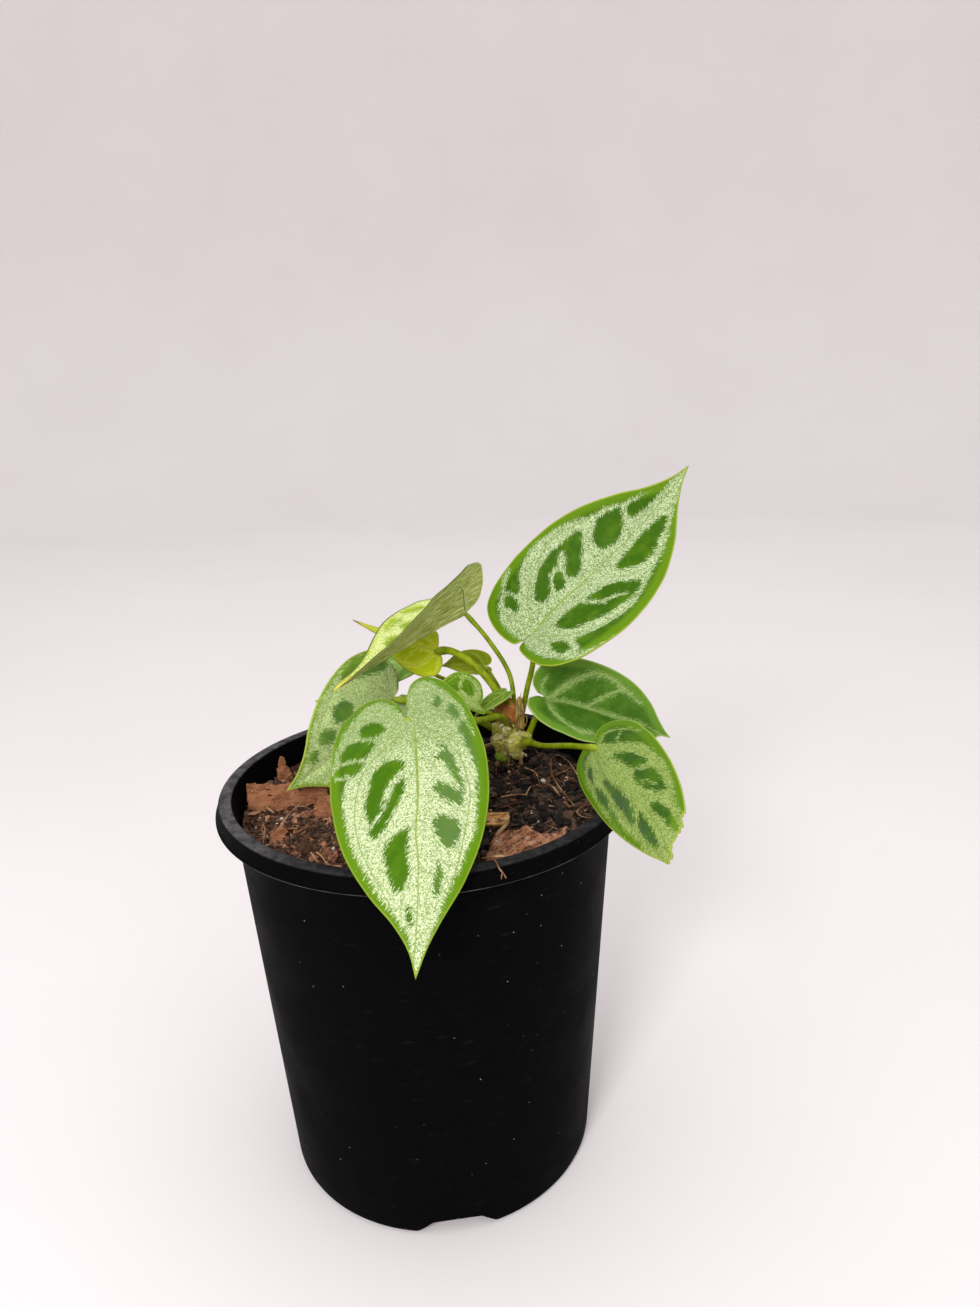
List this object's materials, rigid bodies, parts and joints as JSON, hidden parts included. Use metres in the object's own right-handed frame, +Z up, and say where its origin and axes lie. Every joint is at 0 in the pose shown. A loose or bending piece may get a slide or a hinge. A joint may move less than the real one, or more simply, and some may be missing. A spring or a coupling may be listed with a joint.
{
  "type": "potted crystal anthurium",
  "caption": "Young heart-leaved foliage plant with silver-veined, drip-tipped blades on arching stalks, rooted off centre in a round tapered nursery pot of bark mix.",
  "frame": {"origin": "centre of the pot's flat underside, on the surface that it stands on", "axes": "+Z up along the axis of the pot, +X to the right of the front view, +Y away from it; the big front leaf hangs over the rim towards -Y"},
  "size_m": [0.1705, 0.1621, 0.2431],
  "materials": {
    "pot": "satin black moulded plastic with dust",
    "soil": "rough dark crumbs",
    "bark": "rough dry bark",
    "wood_chip": "rough split wood",
    "crown": "knobbly, slightly waxy",
    "papery_sheath": "dry and papery",
    "fibrous_sheath": "dry and fibrous",
    "stalk": "smooth and slightly waxy",
    "blade_silver": "velvety green with sparkling silver veins",
    "blade_deep": "velvety deep green with thin pale veins",
    "blade_young": "soft glossy yellow-green",
    "blade_pale": "matt pale green"
  },
  "bodies": {
    "root": {"pot": "pot", "potting_soil": "soil", "bark_left": "bark", "bark_left_low": "bark", "bark_left_front": "bark", "bark_upright": "bark", "bark_front": "bark", "wood_chip": "wood_chip", "crown": "crown", "blade_upper_right": "blade_silver", "stalk_upper_right": "stalk", "blade_front": "blade_silver", "stalk_front": "stalk", "blade_right_middle": "blade_deep", "stalk_right_middle": "stalk", "blade_right_lower": "blade_silver", "stalk_right_lower": "stalk", "blade_left_folded": "blade_pale", "stalk_left_folded": "stalk", "blade_left_young": "blade_young", "stalk_left_young": "stalk", "blade_left_lower": "blade_silver", "stalk_left_lower": "stalk", "blade_small_round": "blade_deep", "stalk_small_round": "stalk", "blade_small_narrow": "blade_deep", "stalk_small_narrow": "stalk", "blade_small_pale": "blade_pale", "stalk_small_pale": "stalk", "blade_far_left": "blade_pale", "stalk_far_left": "stalk", "papery_sheath": "papery_sheath", "fibrous_sheath": "fibrous_sheath"}
  },
  "joints": []
}
